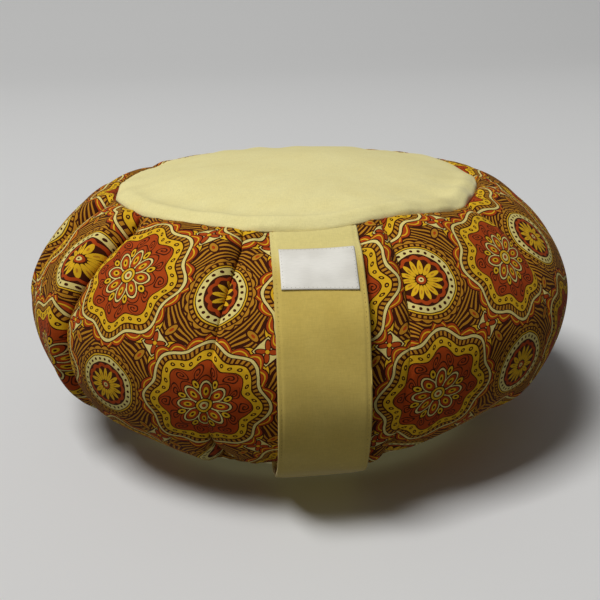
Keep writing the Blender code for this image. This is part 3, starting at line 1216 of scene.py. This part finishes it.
# %% Draw the large figures' borders
swing = cos_of(figure_angle, 8.0)
frill = abs(cos_of(figure_angle, 12.0)) * 4.0
border = figure - swing * 3.0
picture.paint(border < frill + 48.6, DARK)
picture.paint(border < frill + 47.6, RUST)
picture.paint(ring_at(border - frill, 45.4, 0.5), YELLOW)
picture.paint(border < 46.4, DARK)
picture.paint(border < 45.5, CREAM)
picture.paint(border < 43.5, DARK)
dashes = wrap(figure_angle, math.pi / 80.0) > -0.004
picture.paint(both(dashes, ring_at(border, 41.3, 1.6)), OCHRE)
picture.paint(border < 39.4, DARK)
picture.paint(border < 38.6, YELLOW)
ribbon_beads = beads(border, figure_angle, 36.0, 35.4)
picture.paint(ribbon_beads < 1.55, DARK)
picture.paint(ribbon_beads < 0.6, YELLOW)
picture.paint(border < 32.2, DARK)
picture.paint(border < 31.3, RUST)

# %% [markdown]
# Inside the border, dark curls stand in the rust field, and a double ring of
# petals surrounds a small round heart. One petal is drawn, and wrapping the
# angle repeats it round the middle.

# %% Draw the large figures' hearts
near = wrap(figure_angle, math.pi / 14.0)
curl_x = maths("COSINE", near) * border - 26.4
curl_y = maths("SINE", near) * border
curl = length_of(curl_x, curl_y)
curl_turn = maths("ARCTAN2", curl_y, curl_x) / (2.0 * math.pi)
spiral = abs(wrap(curl / 2.3 + curl_turn, 0.5)) < 0.2
picture.paint(both(spiral, curl < 4.6), DARK)
picture.paint(ring_at(border, 21.4, 0.5), DARK)
picture.paint(border < 20.9, RUST)
drop = petals(figure, figure_angle, 8.0, 18.2, 3.6, 2.2, math.pi / 8.0)
picture.paint(drop < 1.25, DARK)
picture.paint(drop < 0.9, YELLOW)
picture.paint(drop < 0.4, DARK)
heart = petals(figure, figure_angle, 8.0, 12.0, 8.2, 4.4)
for reach, ink in ((1.12, DARK), (1.0, CREAM), (0.82, DARK), (0.7, RUST), (0.4, YELLOW),
                   (0.18, DARK)):
    picture.paint(heart < reach, ink)
for reach, ink in ((6.4, DARK), (5.5, YELLOW), (3.9, DARK), (3.1, CREAM), (1.5, RUST)):
    picture.paint(figure < reach, ink)

# %% [markdown]
# The flowers between the large figures are plain circles: a lace edge, dashes,
# a cream ring with dark dots, and fourteen narrow petals round a small eye.

# %% Draw the flowers
lace = abs(cos_of(flower_angle, 12.0)) * 1.7
picture.paint(flower < lace + 31.0, DARK)
picture.paint(flower < lace + 29.8, OCHRE)
picture.paint(flower < 29.3, DARK)
flower_dashes = wrap(flower_angle, math.pi / 44.0) > -0.012
picture.paint(both(flower_dashes, ring_at(flower, 27.6, 0.9)), OCHRE)
picture.paint(flower < 25.8, YELLOW)
picture.paint(flower < 24.9, DARK)
picture.paint(flower < 24.2, CREAM)
picture.paint(beads(flower, flower_angle, 28.0, 21.9) < 1.15, DARK)
picture.paint(flower < 19.6, DARK)
cups = abs(cos_of(flower_angle, 7.0)) * 1.6
picture.paint(flower < cups + 17.0, RUST)
picture.paint(flower < cups + 14.4, DARK)
leaf = petals(flower, flower_angle, 14.0, 9.6, 5.4, 1.75, math.pi / 14.0)
picture.paint(leaf < 1.0, YELLOW)
picture.paint(leaf < 0.3, OCHRE)
for reach, ink in ((4.3, DARK), (3.4, RUST), (1.9, CREAM), (0.8, DARK)):
    picture.paint(flower < reach, ink)

# %% [markdown]
# Under the inks the band is still cotton. A picture of cloth could be laid over
# it, but noise that is stretched along each of its two threads gives slubs, and
# a finer one gives the weave as bump. A slow noise fades the inks a little, as
# washing does.

# %% Give the print its cotton
print_fade = noise(cloth_place, 0.12, 3.0)
print_slubs = noise(vector(cloth_u * 0.25, cloth_v * 2.2, 0.0), 1.0)
print_slubs_down = noise(vector(cloth_u * 2.2, cloth_v * 0.25, 3.0), 1.0)
print_threads = print_slubs + print_slubs_down
shade_of_print = print_fade * 0.22 + print_threads * 0.16 + 0.73
feed(print_shader.inputs["Base Color"], tinted(picture.colour, shade_of_print))
weave = maths("SINE", cloth_u * 9.0) * maths("SINE", cloth_v * 9.0)
raise_by(print_shader, print_threads * 0.5 + weave * 0.2, far=0.18 * MM, strength=0.35)
print("the print has", len(Value.tree.nodes), "nodes")

# %% [markdown]
# The top, the base and the strap are undyed cotton canvas. Its threads vary
# in thickness, so fine streaks run along both threads of the weave, and the
# cream is a little uneven. The streaks are noise on Object coordinates, since
# these pieces are cut along the same threads and have no map. The strap is
# painted paler towards the top seam: painted light where it turns up to the lamp.

# %% Make the plain cotton
PAINTED_LIGHT_FROM = 139.0 * MM
PAINTED_LIGHT_TO = 153.0 * MM


def canvas(name, light, dark, lengthwise, crosswise, painted_light=None):
    """Cotton canvas, its two threads along two directions, with painted light at the top seam.
    """
    finish, shader = new_finish(name, roughness=0.9, sheen=0.15)
    place = Value.tree.nodes.new("ShaderNodeTexCoord").outputs["Object"]
    x, y, z = parts_of(place)
    first, second = (vector(*[part * stretch for part, stretch in zip((x, y, z), way)])
                     for way in (lengthwise, crosswise))
    threads = noise(first, 1.0) + noise(second, 1.0)
    cloudy = noise(place, 55.0, 3.0)
    specks = maths("SMOOTH_MIN", noise(place, 420.0, 1.0) * 2.2, 0.9, 0.1)
    ground = blend(cloudy, light, dark)
    # Painted light: the strap's colour turns paler towards the top seam.
    if painted_light:
        near_seam = step_up(z, PAINTED_LIGHT_FROM, PAINTED_LIGHT_TO)
        ground = blend(near_seam, ground, painted_light)
    shade = threads * 0.2 + specks * 0.06 + 0.75
    feed(shader.inputs["Base Color"], tinted(ground, shade))
    raise_by(shader, threads * 0.5, far=0.22 * MM, strength=0.45)
    return finish


PLAIN_LIGHT = tone(232, 222, 160)
PLAIN_DARK = tone(224, 210, 142)
STRAP_LIGHT = tone(205, 181, 96)
STRAP_DARK = tone(190, 163, 77)
panel_cotton = canvas("plain_cotton_cloth", PLAIN_LIGHT, PLAIN_DARK,
                      (260.0, 1900.0, 900.0), (1900.0, 260.0, 900.0))
strap_cotton = canvas("strap_cotton_cloth", STRAP_LIGHT, STRAP_DARK,
                      (230.0, 1500.0, 1500.0), (1900.0, 300.0, 300.0),
                      painted_light=tone(216, 201, 128))

# %% [markdown]
# The label is a smoother white satin ribbon, so its gloss runs across its
# threads: a lower roughness, some anisotropy and fine ribs. A plain glossy
# white would look like plastic. The thread is twisted cotton, painted a little
# darker than what it sews as painted shade of the stitch holes and the groove
# it lies in, so that its rows can be seen.

# %% Make the satin and the thread
satin, satin_shader = new_finish("label_satin_cloth", roughness=0.42, sheen=0.1)
satin_shader.inputs["Anisotropic"].default_value = 0.5
satin_place = Value.tree.nodes.new("ShaderNodeTexCoord").outputs["Object"]
satin_x, satin_y, satin_z = parts_of(satin_place)
ribs = noise(vector(satin_x * 300.0, satin_y * 2400.0, satin_z * 2400.0), 1.0)
# Painted sheen: soft paler and greyer patches laid into the satin's colour.
satin_sheen = step_up(noise(satin_place, 48.0, 1.0), 0.28, 0.72)
satin_ground = blend(satin_sheen, tone(238, 235, 225), tone(212, 208, 197))
feed(satin_shader.inputs["Base Color"], tinted(satin_ground, ribs * 0.16 + 0.9))
raise_by(satin_shader, ribs, far=0.08 * MM, strength=0.4)


def thread(name, colour):
    """Twisted cotton thread."""
    finish, shader = new_finish(name, roughness=0.7, sheen=0.2)
    place = Value.tree.nodes.new("ShaderNodeTexCoord").outputs["Object"]
    twist = noise(place, 2600.0)
    feed(shader.inputs["Base Color"], tinted(colour[:3], twist * 0.5 + 0.72))
    raise_by(shader, twist, far=0.05 * MM, strength=0.5)
    return finish


for piece, finish in (
    (printed_side, print_finish),
    (top_cover, panel_cotton),
    (base_cover, panel_cotton),
    (carry_strap, strap_cotton),
    (blank_label, satin),
    # The threads' darker tones are painted shade of the stitch holes.
    (strap_thread, thread("strap_thread_cotton", tone(150, 126, 66))),
    (label_thread, thread("label_thread_cotton", tone(182, 178, 166))),
):
    piece.data.materials.append(finish)
    print(piece.name, "is", finish.name)

# %% [markdown]
# Last, each piece is hung on the root body, and the plain solid that it
# stands for is hidden.

# %% Hang each piece on the body and hide its solid
for piece, node, finish in (
    (printed_side, "side_wall", "printed_cotton"),
    (top_cover, "top_panel", "plain_cotton"),
    (base_cover, "base_panel", "plain_cotton"),
    (carry_strap, "strap", "strap_cotton"),
    (blank_label, "label", "label_satin"),
    (strap_thread, None, "strap_cotton"),
    (label_thread, None, "label_satin"),
):
    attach(piece, "root")
    if node:
        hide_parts(node)

# %% [markdown]
# The studio has a plain pale floor that curves up behind, like a roll of paper.
# A bent grid would do as well. Here the sweep is extruded from the back edge of
# a plane, a little steeper each time.

# %% Roll out the studio paper
FLOOR_WIDE = 12.0
FLOOR_BACK = 2.0
FLOOR_FRONT = -4.0
FLOOR_LEVEL = -0.3 * MM
SWEEP_STEPS = 12
SWEEP_STEP = 0.26
WALL_HEIGHT = 4.0
PAPER = (0.84, 0.84, 0.83, 1.0)

bpy.ops.object.select_all(action="DESELECT")
bpy.ops.mesh.primitive_plane_add(size=1.0, location=(0.0, 0.0, FLOOR_LEVEL))
studio_floor = bpy.context.object
studio_floor.name = "studio_floor"
for corner in studio_floor.data.vertices:
    corner.co.x *= FLOOR_WIDE
    corner.co.y = FLOOR_BACK if corner.co.y > 0.0 else FLOOR_FRONT
for side in studio_floor.data.edges:
    side.select = all(studio_floor.data.vertices[k].co.y > 0.0 for k in side.vertices)
bpy.ops.object.mode_set(mode="EDIT")
bpy.ops.mesh.select_mode(type="EDGE")
for step in range(SWEEP_STEPS):
    tilt = math.pi / 2.0 * (step + 0.5) / SWEEP_STEPS
    bpy.ops.mesh.extrude_edges_move(TRANSFORM_OT_translate={
        "value": (0.0, SWEEP_STEP * math.cos(tilt), SWEEP_STEP * math.sin(tilt))})
bpy.ops.mesh.extrude_edges_move(TRANSFORM_OT_translate={"value": (0.0, 0.0, WALL_HEIGHT)})
bpy.ops.object.mode_set(mode="OBJECT")
studio_floor.data.shade_smooth()
paper, paper_shader = new_finish("studio_paper", roughness=0.95, sheen=0.0)
paper_shader.inputs["Base Color"].default_value = PAPER
studio_floor.data.materials.append(paper)
studio_floor.visible_diffuse = False
print("the paper has", len(studio_floor.data.polygons), "faces")

# %% [markdown]
# The camera stands at the photograph's place, which was found by fitting the
# cushion's outline and its top seam. Aiming by hand would be a guess. It leans
# a little to one side, as a camera held in the hand does.

# %% Place the camera
TARGET = Vector((0.0, 0.0, 0.076))
CAMERA_FAR = 0.70
CAMERA_ABOVE = math.radians(19.16)
CAMERA_ASIDE = math.radians(-4.2)
CAMERA_ROLL = math.radians(-1.26)
LENS = 59.69
FRAME_SIZE = 600.0
CENTRE_X = 299.13
CENTRE_Y = 294.01

back = Vector((math.sin(CAMERA_ASIDE) * math.cos(CAMERA_ABOVE),
               -math.cos(CAMERA_ASIDE) * math.cos(CAMERA_ABOVE), math.sin(CAMERA_ABOVE)))
bpy.ops.object.camera_add(location=TARGET + back * CAMERA_FAR)
camera = bpy.context.object
camera.rotation_mode = "QUATERNION"
camera.rotation_quaternion = (-back).to_track_quat("-Z", "Y") @ Matrix.Rotation(
    CAMERA_ROLL, 4, "Z").to_quaternion()
camera.data.lens = LENS
camera.data.sensor_width = 36.0
camera.data.shift_x = -(CENTRE_X - FRAME_SIZE / 2.0) / FRAME_SIZE
camera.data.shift_y = (CENTRE_Y - FRAME_SIZE / 2.0) / FRAME_SIZE
camera.data.clip_start = 0.05
bpy.context.scene.camera = camera
print("the camera stands", CAMERA_FAR, "m from the cushion")

# %% [markdown]
# One large soft lamp hangs above and to the left, and a weak one fills in the
# front. A sky picture could light the cushion instead, but one soft lamp gives
# the clear shade on its right side.

# %% Hang the lamps
SKY_GLOW = 0.11


def soft_light(name, place, size, power):
    """A square soft light that faces the cushion."""
    bpy.ops.object.light_add(type="AREA", location=place)
    lamp = bpy.context.object
    lamp.name = name
    lamp.rotation_mode = "QUATERNION"
    lamp.rotation_quaternion = (TARGET - Vector(place)).to_track_quat("-Z", "Y")
    lamp.data.size = size
    lamp.data.energy = power


soft_light("key_light", place=(-1.6, -0.8, 4.1), size=1.7, power=168.0)
soft_light("front_light", place=(-0.9, -2.3, 0.5), size=1.2, power=5.5)
world = bpy.data.worlds.new("studio")
world.use_nodes = True
sky = world.node_tree.nodes["Background"]
sky.inputs["Color"].default_value = (1.0, 1.0, 1.0, 1.0)
sky.inputs["Strength"].default_value = SKY_GLOW
bpy.context.scene.world = world
bpy.context.scene.view_settings.view_transform = "Standard"
